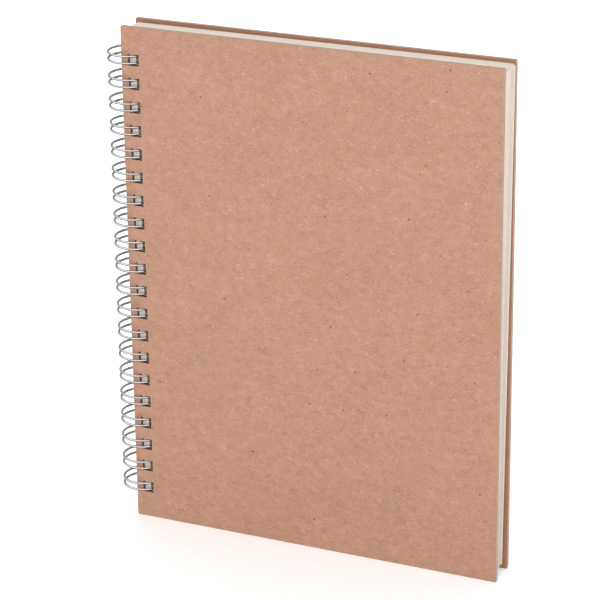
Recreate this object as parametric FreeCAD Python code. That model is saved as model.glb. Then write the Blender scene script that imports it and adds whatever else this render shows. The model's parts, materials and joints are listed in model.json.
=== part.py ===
"""A wire-bound sketchbook: two kraft boards and a block of loose leaves on one twin-loop wire.

The book stands upright and closed. X runs from the bound edge to the fore-edge, the front cover
faces -Y, and Z is the height. The origin is under the middle of the book, on the surface that the
two boards stand on. Every leaf and the front cover turn about the centre line of the wire loops.
"""

import FreeCAD, Part
import math
import os

# ---- driving dimensions, in millimetres -------------------------------------------------------

board_width = 139.4
board_height = 184.4
board_thickness = 1.6

leaf_count = 40
leaf_thickness = 0.2
leaf_air = 0.015              # air between one sheet and the next
leaf_margin = 1.2             # the boards stand past the leaves by this much at top and bottom
leaf_inset_top = 0.05         # ... and at the fore-edge, which is trimmed a little out of square
leaf_inset_bottom = 1.7
leaf_corner = 1.2             # radius of a leaf's corners at the fore-edge

pitch = 25.4 / 3              # three loops to the inch
loop_count = 20
wire_diameter = 0.85
loop_radius = 7.5             # to the middle of the wire
hairpin_width = 2.45          # between the middles of a loop's two strands
root_bend = 1.0               # radius of the bend from a straight run into a strand
seam_gap = 1.05               # room between the last leaf and the back cover for the straight runs
seam_clearance = 0.3          # from a hairpin's tip to the line of the straight runs, middle to middle
end_stub = 1.2                # the straight stub at each cut end of the wire

hole = 4.0                    # the square punched holes
board_edge = 0.05             # from the loops' centre line to a board's bound edge
board_hole = 2.65             # from a board's bound edge to its holes
leaf_edge = 1.6               # from the loops' centre line to a leaf's bound edge
leaf_hole = 3.3               # from a leaf's bound edge to its holes

# ---- places worked out from them --------------------------------------------------------------

leaf_pitch = leaf_thickness + leaf_air
book_thickness = 2 * board_thickness + leaf_count * leaf_pitch + seam_gap
front_face = -book_thickness / 2
back_face = book_thickness / 2
wire_reach = loop_radius + wire_diameter / 2
axis_x = -(board_edge + board_width - wire_reach) / 2
fore_edge = axis_x + board_edge + board_width
first_loop = (board_height - (loop_count - 1) * pitch) / 2
seam_y = back_face - board_thickness - seam_gap / 2


def vector(x, y, z):
    return FreeCAD.Vector(x, y, z)


def loop_heights():
    return [first_loop + number * pitch for number in range(loop_count)]


# ---- flat pieces ------------------------------------------------------------------------------

def outline(corners):
    """A closed outline in the XZ plane through (x, z, rounding radius) corners."""
    edges = []
    stops = []
    for number, (x, z, radius) in enumerate(corners):
        before = corners[number - 1]
        after = corners[(number + 1) % len(corners)]
        corner = vector(x, 0, z)
        back = (vector(before[0], 0, before[1]) - corner).normalize()
        ahead = (vector(after[0], 0, after[1]) - corner).normalize()
        half = back.getAngle(ahead) / 2
        setback = radius / math.tan(half)
        start, end = corner + back * setback, corner + ahead * setback
        stops.append((start, end))
        if radius > 0:
            inward = (back + ahead).normalize()
            middle = corner + inward * (radius / math.sin(half) - radius)
            edges.append(Part.Arc(start, middle, end).toShape())
    for number, (_, end) in enumerate(stops):
        next_start = stops[(number + 1) % len(stops)][0]
        edges.append(Part.LineSegment(end, next_start).toShape())
    return Part.Wire(Part.__sortEdges__(edges))


def punched_sheet(corners, front_y, thickness, hole_left):
    """A flat sheet whose front is at front_y, with one square hole for each loop."""
    outlines = [outline(corners)]
    left, right = hole_left, hole_left + hole
    for height in loop_heights():
        low, high = height - hole / 2, height + hole / 2
        square = [(left, low, 0), (right, low, 0), (right, high, 0), (left, high, 0)]
        outlines.append(outline(square))
    face = Part.makeFace(outlines, "Part::FaceMakerBullseye")
    face.translate(vector(0, front_y, 0))
    return face.extrude(vector(0, thickness, 0))


def board(front_y):
    left, right, top = axis_x + board_edge, fore_edge, board_height
    corners = [(left, 0, 0), (right, 0, 0), (right, top, 0), (left, top, 0)]
    return punched_sheet(corners, front_y, board_thickness, left + board_hole)


def leaf(number):
    """Leaf 0 lies against the front cover."""
    left = axis_x + leaf_edge
    low, high = leaf_margin, board_height - leaf_margin
    corners = [
        (left, low, 0),
        (fore_edge - leaf_inset_bottom, low, leaf_corner),
        (fore_edge - leaf_inset_top, high, leaf_corner),
        (left, high, 0),
    ]
    front_y = front_face + board_thickness + leaf_air / 2 + number * leaf_pitch
    return punched_sheet(corners, front_y, leaf_thickness, left + leaf_hole)


# ---- the wire ---------------------------------------------------------------------------------

def radial(angle):
    """From the loops' centre line outwards. 0 points at the fore-edge, 90 at the front cover."""
    turn = math.radians(angle)
    return vector(math.cos(turn), -math.sin(turn), 0)


def along(angle):
    """Along a loop, the way that the angle falls."""
    turn = math.radians(angle)
    return vector(math.sin(turn), math.cos(turn), 0)


def on_loop(angle, height):
    return vector(axis_x, 0, height) + radial(angle) * loop_radius


def seam_angle():
    """Where the strands leave their root bends, so that the straight runs lie in the seam gap."""
    angle = 0.0
    for _ in range(40):
        depth = loop_radius * math.sin(math.radians(-angle)) - root_bend * along(angle).y
        angle -= math.degrees((seam_y - depth) / loop_radius)
    return angle


def arc(start, middle, end):
    return Part.Arc(start, middle, end).toShape()


def bend(start, heading, turned_to, radius):
    """A quarter bend that starts along heading and ends along turned_to."""
    centre = start + turned_to * radius
    middle = centre + (heading - turned_to) * (radius * math.sqrt(0.5))
    return arc(start, middle, centre + heading * radius)


def hairpin(height, root):
    """One twin loop's two strands and its tip, from its lower strand's root to its upper one's."""
    tip_bend = hairpin_width / 2
    run_line = root + math.degrees(math.atan(root_bend / loop_radius))
    tip = run_line - 360 + math.degrees((seam_clearance + tip_bend) / loop_radius)
    low, high = height - tip_bend, height + tip_bend
    half_way = (root + tip) / 2
    ahead = along(tip)
    turn_middle = on_loop(tip, height) + ahead * tip_bend
    return [
        arc(on_loop(root, low), on_loop(half_way, low), on_loop(tip, low)),
        arc(on_loop(tip, low), turn_middle, on_loop(tip, high)),
        arc(on_loop(tip, high), on_loop(half_way, high), on_loop(root, high)),
    ]


def binding_path():
    """The middle of the whole wire, from its lower cut end to its upper one."""
    root = seam_angle()
    up = vector(0, 0, 1)
    ahead = along(root)
    run_foot = on_loop(root, 0) - ahead * root_bend
    edges = []
    reached = first_loop - hairpin_width / 2 - root_bend - end_stub
    for height in loop_heights():
        lower_root = height - hairpin_width / 2
        upper_root = height + hairpin_width / 2
        run_end = run_foot + up * (lower_root - root_bend)
        edges.append(Part.LineSegment(run_foot + up * reached, run_end).toShape())
        edges.append(bend(run_end, up, ahead, root_bend))
        edges.extend(hairpin(height, root))
        edges.append(bend(on_loop(root, upper_root), ahead * -1, up, root_bend))
        reached = upper_root + root_bend
    top = run_foot + up * (reached + end_stub)
    edges.append(Part.LineSegment(run_foot + up * reached, top).toShape())
    return edges


def binding_wire():
    edges = binding_path()
    path = Part.Wire(edges)
    start = edges[0].Vertexes[0].Point
    section = Part.Wire(Part.Circle(start, vector(0, 0, 1), wire_diameter / 2).toShape())
    wire = path.makePipeShell([section], True, False)
    expected = math.pi * wire_diameter ** 2 / 4 * path.Length
    print(f"binding_wire: {path.Length:.1f} mm long, volume {wire.Volume:.2f} of {expected:.2f} mm3")
    return wire


# ---- files ------------------------------------------------------------------------------------

def save(node, shape):
    if not shape.isValid() or len(shape.Solids) != 1:
        raise ValueError(f"{node} is not one valid solid")
    shape.Solids[0].exportStep(f"parts/{node}.step")


def main():
    os.makedirs("parts", exist_ok=True)
    save("front_cover", board(front_face))
    for number in range(leaf_count):
        save(f"leaf_{number + 1:02d}", leaf(number))
    save("back_cover", board(back_face - board_thickness))
    save("binding_wire", binding_wire())
    print(f"book {book_thickness:.2f} mm thick, loop centre line at x = {axis_x:.4f}")


main()
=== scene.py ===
"""The looks of a wire-bound sketchbook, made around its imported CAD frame.

Two recycled kraft boards, forty cream leaves and one bright wire each get a detailed mesh that
rides on its own CAD body. X runs from the bound edge to the fore-edge, the front cover faces -Y
and Z is the height. Every length is in metres.
"""
import json
import math
import random

import bmesh
import bpy
from mathutils import Matrix, Vector


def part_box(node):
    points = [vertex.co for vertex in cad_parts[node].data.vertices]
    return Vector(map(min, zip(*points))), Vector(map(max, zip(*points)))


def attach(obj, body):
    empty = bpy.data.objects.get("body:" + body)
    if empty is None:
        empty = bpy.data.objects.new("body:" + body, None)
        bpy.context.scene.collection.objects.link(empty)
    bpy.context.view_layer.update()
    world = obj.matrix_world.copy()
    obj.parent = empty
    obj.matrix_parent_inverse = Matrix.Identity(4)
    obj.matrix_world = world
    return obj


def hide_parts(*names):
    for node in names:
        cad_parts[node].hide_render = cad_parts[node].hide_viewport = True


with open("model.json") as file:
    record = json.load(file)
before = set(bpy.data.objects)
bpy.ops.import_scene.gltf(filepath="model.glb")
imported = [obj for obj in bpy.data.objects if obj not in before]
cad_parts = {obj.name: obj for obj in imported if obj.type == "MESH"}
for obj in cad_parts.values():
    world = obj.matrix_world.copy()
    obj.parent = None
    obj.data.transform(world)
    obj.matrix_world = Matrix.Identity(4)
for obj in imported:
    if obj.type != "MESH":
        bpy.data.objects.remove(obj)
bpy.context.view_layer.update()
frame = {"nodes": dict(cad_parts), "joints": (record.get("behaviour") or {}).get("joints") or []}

MM = 0.001

# ---- sizes that the mesh pieces share with the CAD model ---------------------------------------

axis_x = frame["joints"][0]["pos_m"][0]      # the centre line of the wire loops
board_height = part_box("front_cover")[1].z
back_inner_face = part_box("back_cover")[0].y
leaf_names = sorted(name for name in frame["nodes"] if name.startswith("leaf"))

pitch = 25.4 / 3 * MM
loop_count = 20
first_loop = (board_height - (loop_count - 1) * pitch) / 2
loop_heights = [first_loop + number * pitch for number in range(loop_count)]

hole = 4.0 * MM
board_hole = 2.65 * MM                       # from a bound edge to its holes
leaf_hole = 3.3 * MM

wire_radius = 0.425 * MM
loop_radius = 7.5 * MM
hairpin_width = 2.45 * MM
root_bend = 1.0 * MM
seam_clearance = 0.3 * MM
seam_gap = 1.05 * MM
end_stub = 1.2 * MM
seam_y = back_inner_face - seam_gap / 2

# ---- sizes of the details ----------------------------------------------------------------------

board_wear = 0.5 * MM                        # radius of a board's corners
board_soft = 0.16 * MM                       # rounding of its cut edges
hole_corner = 0.3 * MM
leaf_corner = 1.2 * MM
leaf_slant = 1.65 * MM                       # the fore-edge is trimmed out of square by this much
leaf_soft = 0.02 * MM
leaf_fan = 0.85 * MM                         # the leaves' spread into the seam gap at the fore-edge

run_chance = 0.35                            # of a leaf beginning a new run of like leaves
run_trim_spread = 0.22 * MM                  # how much the runs' fore-edges differ
leaf_trim_spread = 0.05 * MM                 # how much the leaves' differ within a run

sheet_crease = math.radians(20)              # sharper edges than these are shaded as creases
wire_crease = math.radians(50)
weld_reach = 1e-7
point_reach = 1e-6                           # nearer points than this on the wire's path are one

# ---- sizes of the light ------------------------------------------------------------------------

ambient_grey = (0.95, 0.97, 1.0, 1)
ambient_strength = 0.42
screen_greys = ((0.30, 0.10), (0.52, 1.0), (0.84, 1.0), (0.97, 0.14))    # from floor 0 to zenith 1
screen_front = -0.6                          # a direction's Y where the screen is at its brightest
screen_rear = 0.6                            # ... and at its dimmest
screen_bright = 1.5
screen_dim = 0.4
floor_half = 6.0
floor_glow = 0.25


# ---- small helpers -----------------------------------------------------------------------------

def link(obj):
    bpy.context.scene.collection.objects.link(obj)
    return obj


class Nodes:
    """One material's node tree, with short calls for the nodes that the materials share."""

    def __init__(self, name):
        self.material = bpy.data.materials.new(name)
        self.material.use_nodes = True
        self.tree = self.material.node_tree
        self.shader = self.tree.nodes["Principled BSDF"]

    def set(self, socket, value):
        if isinstance(value, bpy.types.NodeSocket):
            self.tree.links.new(value, socket)
        else:
            socket.default_value = value

    def finish(self, **inputs):
        """Puts each input on the shader, with spaces for the underscores in its name."""
        for name, value in inputs.items():
            self.set(self.shader.inputs[name.replace("_", " ")], value)
        return self.material

    def new(self, kind, links, **settings):
        node = self.tree.nodes.new(kind)
        for key, value in settings.items():
            setattr(node, key, value)
        for key, value in links.items():
            self.set(node.inputs[key], value)
        return node

    def place(self, stretch=(1, 1, 1)):
        """Object coordinates, stretched along each axis."""
        where = self.new("ShaderNodeTexCoord", {}).outputs["Object"]
        return self.new("ShaderNodeMapping", {"Vector": where, "Scale": stretch}).outputs["Vector"]

    def face_place(self, stretch=1.0, turn=0.0):
        """Coordinates across a sheet's face, turned by an angle in degrees and stretched along X."""
        where = self.new("ShaderNodeTexCoord", {}).outputs["Object"]
        turned = {"Vector": where, "Rotation": (math.radians(-90), 0, math.radians(turn))}
        face = self.new("ShaderNodeMapping", turned).outputs["Vector"]
        scaled = {"Vector": face, "Scale": (stretch, 1, 1)}
        return self.new("ShaderNodeMapping", scaled).outputs["Vector"]

    def noise(self, vector, size, detail=3.0, roughness=0.5, distortion=0.0):
        """Noise whose largest spots are about size metres wide."""
        links = {
            "Vector": vector,
            "Scale": 1 / size,
            "Detail": detail,
            "Roughness": roughness,
            "Distortion": distortion,
        }
        return self.new("ShaderNodeTexNoise", links).outputs["Fac"]

    def maths(self, operation, *values, clamp=False):
        node = self.new("ShaderNodeMath", {}, operation=operation, use_clamp=clamp)
        for socket, value in zip(node.inputs, values):
            self.set(socket, value)
        return node.outputs["Value"]

    def blend_noises(self, *weighted):
        """0.5 plus each (noise, weight)'s departure from 0.5 times its weight."""
        total = 0.5 - 0.5 * sum(weight for _, weight in weighted)
        for noise, weight in weighted:
            total = self.maths("MULTIPLY_ADD", noise, weight, total)
        return total

    def ramp(self, factor, *stops):
        """A colour ramp through (position, colour) stops."""
        node = self.new("ShaderNodeValToRGB", {"Fac": factor})
        elements = node.color_ramp.elements
        while len(elements) < len(stops):
            elements.new(0.5)
        for element, (position, colour) in zip(elements, stops):
            element.position = position
            element.color = (*colour, 1)
        return node.outputs["Color"]

    def mix(self, factor, first, second):
        node = self.new("ShaderNodeMix", {}, data_type="RGBA")
        self.set(node.inputs[0], factor)
        self.set(node.inputs[6], first)
        self.set(node.inputs[7], second if isinstance(second, bpy.types.NodeSocket) else (*second, 1))
        return node.outputs[2]

    def flecks(self, vector, spacing, radius, share, ragged=0.0):
        """1 inside scattered flecks and 0 outside. About share of the cells, spacing apart, have one.

        ragged moves a fleck's outline by up to about that many radii.
        """
        if ragged:
            waves = {"Vector": vector, "Scale": 1.2 / radius, "Detail": 2.0}
            wobble = self.new("ShaderNodeTexNoise", waves)
            moved = self.new("ShaderNodeVectorMath", {}, operation="MULTIPLY_ADD")
            self.set(moved.inputs[0], wobble.outputs["Color"])
            self.set(moved.inputs[1], (ragged * radius,) * 3)
            self.set(moved.inputs[2], vector)
            vector = moved.outputs["Vector"]
        where = {"Vector": vector, "Scale": 1 / spacing}
        cells = self.new("ShaderNodeTexVoronoi", where, voronoi_dimensions="2D")
        chance = self.new("ShaderNodeSeparateColor", {"Color": cells.outputs["Color"]}).outputs["Red"]
        reach = self.maths("MULTIPLY", self.maths("LESS_THAN", chance, share), radius / spacing)
        depth = self.maths("SUBTRACT", reach, cells.outputs["Distance"])
        return self.maths("MULTIPLY", depth, 3 * spacing / radius, clamp=True)

    def bump(self, height, strength, distance):
        links = {"Height": height, "Strength": strength, "Distance": distance}
        return self.new("ShaderNodeBump", links).outputs["Normal"]


# ---- materials ---------------------------------------------------------------------------------

def kraft_material(name, tint):
    """Recycled kraft board: cloudy tone, short fibres, brown specks and pale ones."""
    n = Nodes(name)

    def tinted(*shade):
        return tuple(part * share for part, share in zip(shade, tint))

    clouds = n.noise(n.place(), 14 * MM, 3.0, 0.5)
    mottle = n.noise(n.place((0.8, 1, 1.15)), 2.4 * MM, 4.0, 0.55)
    grain = n.noise(n.place((0.7, 1, 1.3)), 0.6 * MM, 3.0, 0.7, 0.4)
    tone = n.blend_noises((clouds, 0.3), (mottle, 0.85), (grain, 1.4))
    colour = n.ramp(tone, (0.1, tinted(0.317, 0.162, 0.110)), (0.9, tinted(0.515, 0.290, 0.213)))
    ochre = n.noise(n.place((0.9, 1, 1.2)), 3.6 * MM, 3.0, 0.55)
    amber = n.ramp(ochre, (0.40, (0, 0, 0)), (0.62, (0.6, 0.6, 0.6)))
    colour = n.mix(amber, colour, tinted(0.40, 0.235, 0.141))
    for turn, share, strength, shade in (
        (8, 0.40, 0.35, tinted(0.54, 0.34, 0.25)),
        (-24, 0.35, 0.35, tinted(0.25, 0.125, 0.08)),
        (61, 0.30, 0.30, tinted(0.54, 0.35, 0.26)),
    ):
        fibres = n.flecks(n.face_place(0.25, turn), 1.5 * MM, 0.16 * MM, share, 2.0)
        colour = n.mix(n.maths("MULTIPLY", fibres, strength), colour, shade)
    for spacing, radius, share, strength, shade in (
        (11.0 * MM, 0.40 * MM, 0.16, 0.70, tinted(0.10, 0.06, 0.04)),
        (6.0 * MM, 0.30 * MM, 0.20, 0.50, tinted(0.17, 0.085, 0.055)),
        (3.0 * MM, 0.20 * MM, 0.14, 0.45, tinted(0.19, 0.10, 0.065)),
        (7.0 * MM, 0.32 * MM, 0.20, 0.45, tinted(0.66, 0.49, 0.37)),
        (3.4 * MM, 0.20 * MM, 0.15, 0.42, tinted(0.66, 0.50, 0.39)),
    ):
        specks = n.flecks(n.face_place(0.8, 17), spacing, radius, share, 2.2)
        colour = n.mix(n.maths("MULTIPLY", specks, strength), colour, shade)
    height = n.blend_noises((mottle, 0.5), (grain, 0.8))
    return n.finish(
        Base_Color=colour,
        Roughness=0.88,
        Specular_IOR_Level=0.2,
        Normal=n.bump(height, 0.35, 0.12 * MM),
    )


def cut_edge_material(name, dark, pale):
    """The pressed plies along a board's cut edges or inside its holes, in the colours given; the
    holes' far darker colours are painted shade.
    """
    n = Nodes(name)
    plies = n.noise(n.place((0.05, 1, 0.05)), 0.16 * MM, 3.0, 0.6)
    crumbs = n.noise(n.place(), 0.5 * MM, 3.0, 0.6)
    tone = n.blend_noises((plies, 0.8), (crumbs, 0.5))
    return n.finish(
        Base_Color=n.ramp(tone, (0.25, dark), (0.75, pale)),
        Roughness=0.95,
        Specular_IOR_Level=0.05,
        Normal=n.bump(tone, 0.6, 0.15 * MM),
    )


def board_materials():
    """Outer face, inner face with painted shade, outer cut edge and hole wall with painted shade, in
    the order that add_board counts on.
    """
    return [
        kraft_material("kraft_board", (1.0, 1.0, 1.0)),
        # the inner faces get a darker, more orange copy of the same kraft: painted shade and painted
        # bounce light, not a different board
        kraft_material("kraft_inside_painted_shade", (0.80, 0.74, 0.66)),
        cut_edge_material("kraft_cut_edge", (0.33, 0.24, 0.185), (0.53, 0.40, 0.325)),
        # the hole walls are the same board edge darkened to near black: painted shade inside the
        # holes
        cut_edge_material("kraft_hole_wall_painted_shade", (0.10, 0.06, 0.042), (0.21, 0.13, 0.09)),
    ]


def paper_material(number, shade):
    """Cream cartridge paper with a fine tooth. The sheets differ a little in shade."""
    n = Nodes(f"cream_paper_{number}")
    tooth = n.noise(n.place(), 0.35 * MM, 3.0, 0.6)
    pulp = n.noise(n.place(), 6 * MM, 3.0, 0.5)
    tone = n.blend_noises((tooth, 0.5), (pulp, 0.5))
    low = tuple(0.95 * shade * c for c in (0.80, 0.705, 0.615))
    high = tuple(1.03 * shade * c for c in (0.80, 0.70, 0.62))
    return n.finish(
        Base_Color=n.ramp(tone, (0.25, low), (0.75, high)),
        Roughness=0.9,
        Specular_IOR_Level=0.25,
        Normal=n.bump(tooth, 0.25, 0.05 * MM),
    )


def wire_material():
    """Bright plated wire with a faint draw grain."""
    n = Nodes("silver_wire")
    smear = n.noise(n.place(), 1.3 * MM, 3.0, 0.6)
    tarnish = n.noise(n.place(), 11 * MM, 2.0, 0.5)
    tone = n.blend_noises((smear, 0.5), (tarnish, 0.7))
    gloss = n.maths("MULTIPLY_ADD", smear, 0.14, 0.24)
    return n.finish(
        Base_Color=n.ramp(tone, (0.25, (0.66, 0.67, 0.69)), (0.75, (0.78, 0.79, 0.80))),
        Metallic=1.0,
        Roughness=gloss,
        Normal=n.bump(smear, 0.03, 0.03 * MM),
    )


# ---- flat sheets -------------------------------------------------------------------------------

def outline(corners, steps=5):
    """The points of a closed outline through (x, z, rounding radius) corners."""
    points = []
    for number, (x, z, radius) in enumerate(corners):
        corner = Vector((x, z))
        before, after = corners[number - 1], corners[(number + 1) % len(corners)]
        back = (Vector(before[:2]) - corner).normalized()
        ahead = (Vector(after[:2]) - corner).normalized()
        if radius == 0:
            points.append(corner)
            continue
        half = back.angle(ahead) / 2
        centre = corner + (back + ahead).normalized() * (radius / math.sin(half))
        start = corner + back * (radius / math.tan(half)) - centre
        end = corner + ahead * (radius / math.tan(half)) - centre
        sweep = start.angle_signed(end)
        for step in range(steps + 1):
            turn = Matrix.Rotation(-sweep * step / steps, 2)
            points.append(centre + turn @ start)
    return points


def punched_sheet(name, corners, hole_left, low_y, high_y, soft, materials):
    """A flat sheet in the XZ plane with one punched hole for each loop and softened edges."""
    right = hole_left + hole
    loops = [outline(corners)]
    for height in loop_heights:
        low, high = height - hole / 2, height + hole / 2
        square = ((hole_left, low), (right, low), (right, high), (hole_left, high))
        loops.append(outline([(x, z, hole_corner) for x, z in square], 3))
    curve = bpy.data.curves.new(name, "CURVE")
    curve.dimensions = "2D"
    curve.fill_mode = "BOTH"
    curve.extrude = (high_y - low_y) / 2 - soft
    curve.bevel_depth = soft
    curve.bevel_resolution = 1
    curve.offset = -soft
    for points in loops:
        spline = curve.splines.new("POLY")
        spline.points.add(len(points) - 1)
        for point, (x, z) in zip(spline.points, points):
            point.co = (x, z, 0, 1)
        spline.use_cyclic_u = True
    holder = bpy.data.objects.new(name, curve)
    mesh = bpy.data.meshes.new_from_object(holder)
    bpy.data.objects.remove(holder)
    middle = Matrix.Translation((0, (low_y + high_y) / 2, 0))
    mesh.transform(middle @ Matrix.Rotation(math.pi / 2, 4, "X"))
    weld(mesh)
    mesh.shade_smooth()
    mesh.set_sharp_from_angle(angle=sheet_crease)
    mesh.materials.clear()
    for material in materials:
        mesh.materials.append(material)
    return link(bpy.data.objects.new(name, mesh))


def weld(mesh):
    """Joins the caps to the walls, so that the mesh is closed."""
    work = bmesh.new()
    work.from_mesh(mesh)
    bmesh.ops.remove_doubles(work, verts=work.verts, dist=weld_reach)
    bmesh.ops.recalc_face_normals(work, faces=work.faces)
    work.to_mesh(mesh)
    work.free()


def add_board(name, node, body, materials, outward):
    """outward is the sign of Y on the side that the board shows when the book is shut."""
    low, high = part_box(node)
    square = ((low.x, low.z), (high.x, low.z), (high.x, high.z), (low.x, high.z))
    corners = [(x, z, board_wear) for x, z in square]
    board = punched_sheet(name, corners, low.x + board_hole, low.y, high.y, board_soft, materials)
    # the inner faces and the hole walls take the materials with painted shade
    outer, inner, cut_edge, hole_wall = range(4)
    rim = board_hole / 2
    for face in board.data.polygons:
        x, _, z = face.center
        edge_distance = min(x - low.x, high.x - x, z - low.z, high.z - z)
        if abs(face.normal.y) > 0.8:
            face.material_index = outer if face.normal.y * outward > 0 else inner
        else:
            face.material_index = cut_edge if edge_distance < rim else hole_wall
    finish_piece(board, body, node)


def add_leaves(papers):
    """Runs of a few leaves share a shade and a trim, and the block spreads towards its fore-edge."""
    shake = random.Random(11)
    paper, run_trim = papers[0], 0.0
    for number, node in enumerate(leaf_names):
        low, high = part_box(node)
        if shake.random() < run_chance:
            paper = shake.choice(papers)
            run_trim = shake.uniform(0.0, run_trim_spread)
        right = high.x - run_trim - shake.uniform(0.0, leaf_trim_spread)
        corners = [
            (low.x, low.z, 0),
            (right - leaf_slant, low.z, leaf_corner),
            (right, high.z, leaf_corner),
            (low.x, high.z, 0),
        ]
        name = f"page_{number + 1:02d}"
        leaf = punched_sheet(name, corners, low.x + leaf_hole, low.y, high.y, leaf_soft, [paper])
        spread = leaf_fan * (number + 1) / len(leaf_names) / (high.x - low.x)
        leaf.data.transform(Matrix((
            (1, 0, 0, 0),
            (spread, 1, 0, -spread * low.x),
            (0, 0, 1, 0),
            (0, 0, 0, 1),
        )))
        finish_piece(leaf, node, node)


def finish_piece(piece, body, node):
    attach(piece, body)
    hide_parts(node)


# ---- the wire ----------------------------------------------------------------------------------

def radial(angle):
    """From the loops' centre line outwards. 0 points at the fore-edge, 90 at the front cover."""
    turn = math.radians(angle)
    return Vector((math.cos(turn), -math.sin(turn), 0))


def along(angle):
    """Along a loop, the way that the angle falls."""
    turn = math.radians(angle)
    return Vector((math.sin(turn), math.cos(turn), 0))


def on_loop(angle, height):
    return Vector((axis_x, 0, height)) + radial(angle) * loop_radius


def seam_angle():
    """Where the strands leave their root bends, so that the straight runs lie in the seam gap."""
    angle = 0.0
    for _ in range(40):
        depth = loop_radius * math.sin(math.radians(-angle)) - root_bend * along(angle).y
        angle -= math.degrees((seam_y - depth) / loop_radius)
    return angle


def quarter(start, heading, turned_to, radius, steps=7):
    centre = start + turned_to * radius
    turns = [math.pi / 2 * step / steps for step in range(steps + 1)]
    return [centre - turned_to * radius * math.cos(t) + heading * radius * math.sin(t) for t in turns]


def strand(first, last, height, steps=56):
    return [on_loop(first + (last - first) * step / steps, height) for step in range(steps + 1)]


def wire_path():
    """The middle of the whole wire, from its lower cut end to its upper one."""
    root = seam_angle()
    up, ahead = Vector((0, 0, 1)), along(root)
    tip_bend = hairpin_width / 2
    run_foot = on_loop(root, 0) - ahead * root_bend
    run_line = root + math.degrees(math.atan(root_bend / loop_radius))
    tip = run_line - 360 + math.degrees((seam_clearance + tip_bend) / loop_radius)
    points = [run_foot + up * (first_loop - tip_bend - root_bend - end_stub)]
    for height in loop_heights:
        low, high = height - tip_bend, height + tip_bend
        points += quarter(run_foot + up * (low - root_bend), up, ahead, root_bend)
        points += strand(root, tip, low)
        points += quarter(on_loop(tip, low), along(tip), up, tip_bend)
        points += quarter(on_loop(tip, height) + along(tip) * tip_bend, up, -along(tip), tip_bend)
        points += strand(tip, root, high)
        points += quarter(on_loop(root, high), -ahead, up, root_bend)
    points.append(points[-1] + up * end_stub)
    apart = [p for p, q in zip(points, points[1:]) if (p - q).length > point_reach]
    return apart + points[-1:]


def add_wire(material):
    points = wire_path()
    curve = bpy.data.curves.new("wire_binding", "CURVE")
    curve.dimensions = "3D"
    curve.bevel_depth = wire_radius
    curve.bevel_resolution = 8
    curve.use_fill_caps = True
    curve.twist_mode = "MINIMUM"
    spline = curve.splines.new("POLY")
    spline.points.add(len(points) - 1)
    for point, place in zip(spline.points, points):
        point.co = (*place, 1)
    holder = bpy.data.objects.new("wire_curve", curve)
    mesh = bpy.data.meshes.new_from_object(holder)
    bpy.data.objects.remove(holder)
    weld(mesh)
    mesh.shade_smooth()
    mesh.set_sharp_from_angle(angle=wire_crease)
    mesh.materials.clear()
    mesh.materials.append(material)
    wire = link(bpy.data.objects.new("wire_binding", mesh))
    finish_piece(wire, "back", "binding_wire")


# ---- camera, light and floor -------------------------------------------------------------------

def add_camera():
    camera = bpy.data.cameras.new("camera")
    camera.lens = 159.76
    camera.sensor_width = 36
    camera.clip_end = 20
    azimuth, elevation, roll = math.radians(24.67), math.radians(21.29), math.radians(-0.72)
    distance = 921.25 * MM
    back = Vector((
        math.sin(azimuth) * math.cos(elevation),
        -math.cos(azimuth) * math.cos(elevation),
        math.sin(elevation),
    ))
    aim = Vector((-1.89, -1.1, 91.66)) * MM
    turn = back.to_track_quat("Z", "Y").to_matrix().to_4x4() @ Matrix.Rotation(roll, 4, "Z")
    holder = link(bpy.data.objects.new("camera", camera))
    holder.matrix_world = Matrix.Translation(aim + back * distance) @ turn
    bpy.context.scene.camera = holder


def area_light(name, place, width, height, power):
    light = bpy.data.lights.new(name, "AREA")
    light.shape = "RECTANGLE"
    light.size, light.size_y = width, height
    light.energy = power
    holder = link(bpy.data.objects.new(name, light))
    holder.location = place
    aim = Vector((0, 0, board_height / 2)) - Vector(place)
    holder.rotation_euler = aim.to_track_quat("-Z", "Y").to_euler()
    holder.visible_glossy = False
    holder.visible_camera = False


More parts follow.
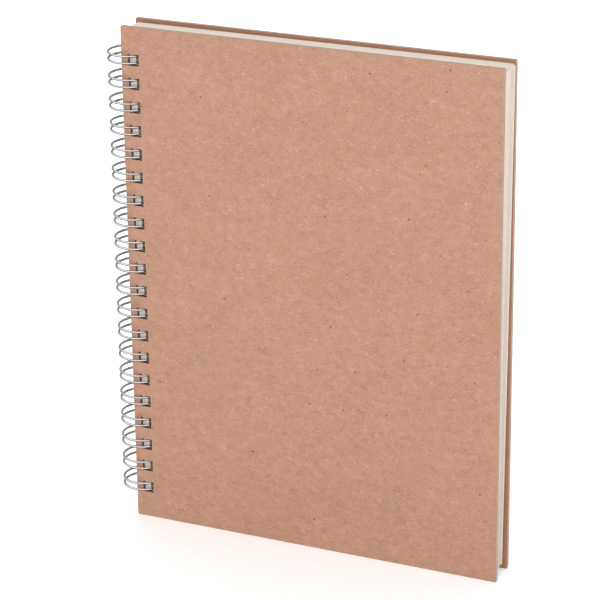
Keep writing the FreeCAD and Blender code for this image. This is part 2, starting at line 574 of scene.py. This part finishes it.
def add_world():
    """A white backdrop, soft grey light, and for gloss a pale band round a dark zenith and floor."""
    world = bpy.data.worlds.new("studio")
    world.use_nodes = True
    tree = world.node_tree
    links = tree.links
    backdrop = tree.nodes["Background"]
    backdrop.inputs["Color"].default_value = (1, 1, 1, 1)
    soft, screen = (tree.nodes.new("ShaderNodeBackground") for _ in range(2))
    soft.inputs["Color"].default_value = ambient_grey
    soft.inputs["Strength"].default_value = ambient_strength
    where = tree.nodes.new("ShaderNodeTexCoord")
    split = tree.nodes.new("ShaderNodeSeparateXYZ")
    height = tree.nodes.new("ShaderNodeMapRange")
    height.inputs["From Min"].default_value = -1
    shade = tree.nodes.new("ShaderNodeValToRGB")
    stops = shade.color_ramp.elements
    while len(stops) < len(screen_greys):
        stops.new(0.5)
    for stop, (place, grey) in zip(stops, screen_greys):
        stop.position = place
        stop.color = (grey, grey, grey, 1)
    links.new(where.outputs["Generated"], split.inputs[0])
    links.new(split.outputs["Z"], height.inputs["Value"])
    links.new(height.outputs["Result"], shade.inputs["Fac"])
    links.new(shade.outputs["Color"], screen.inputs["Color"])
    depth = tree.nodes.new("ShaderNodeMapRange")
    depth.inputs["From Min"].default_value = screen_front
    depth.inputs["From Max"].default_value = screen_rear
    depth.inputs["To Min"].default_value = screen_bright
    depth.inputs["To Max"].default_value = screen_dim
    links.new(split.outputs["Y"], depth.inputs["Value"])
    links.new(depth.outputs["Result"], screen.inputs["Strength"])
    path = tree.nodes.new("ShaderNodeLightPath")
    lit, seen = (tree.nodes.new("ShaderNodeMixShader") for _ in range(2))
    links.new(path.outputs["Is Glossy Ray"], lit.inputs[0])
    links.new(soft.outputs[0], lit.inputs[1])
    links.new(screen.outputs[0], lit.inputs[2])
    links.new(path.outputs["Is Camera Ray"], seen.inputs[0])
    links.new(lit.outputs[0], seen.inputs[1])
    links.new(backdrop.outputs[0], seen.inputs[2])
    links.new(seen.outputs[0], tree.nodes["World Output"].inputs["Surface"])
    bpy.context.scene.world = world


def add_lights():
    area_light("key", (0.2, -1.4, 0.65), 0.3, 0.3, 12.6)
    area_light("side", (1.4, -0.3, 0.55), 0.8, 0.8, 6.5)
    area_light("top", (-0.2, 0.7, 1.8), 2.0, 2.0, 15)
    area_light("rear", (-0.5, 1.4, 0.7), 0.4, 0.4, 14)
    bpy.context.scene.view_settings.view_transform = "Standard"


def add_floor():
    half = floor_half
    corners = [(-half, -half, 0), (half, -half, 0), (half, half, 0), (-half, half, 0)]
    mesh = bpy.data.meshes.new("floor")
    mesh.from_pydata(corners, [], [(0, 1, 2, 3)])
    n = Nodes("white_floor")
    mesh.materials.append(n.finish(
        Base_Color=(0.95, 0.95, 0.95, 1),
        Roughness=0.9,
        Emission_Color=(1, 1, 1, 1),
        Emission_Strength=floor_glow,
    ))
    floor = link(bpy.data.objects.new("floor", mesh))
    floor.visible_glossy = False


# ---- everything --------------------------------------------------------------------------------

def main():
    add_camera()
    add_world()
    add_lights()
    add_floor()
    materials = board_materials()
    add_board("front_board", "front_cover", "front_cover", materials, -1)
    add_board("back_board", "back_cover", "back", materials, 1)
    shades = (0.88, 0.94, 0.99, 1.03)
    add_leaves([paper_material(number, shade) for number, shade in enumerate(shades)])
    add_wire(wire_material())


main()
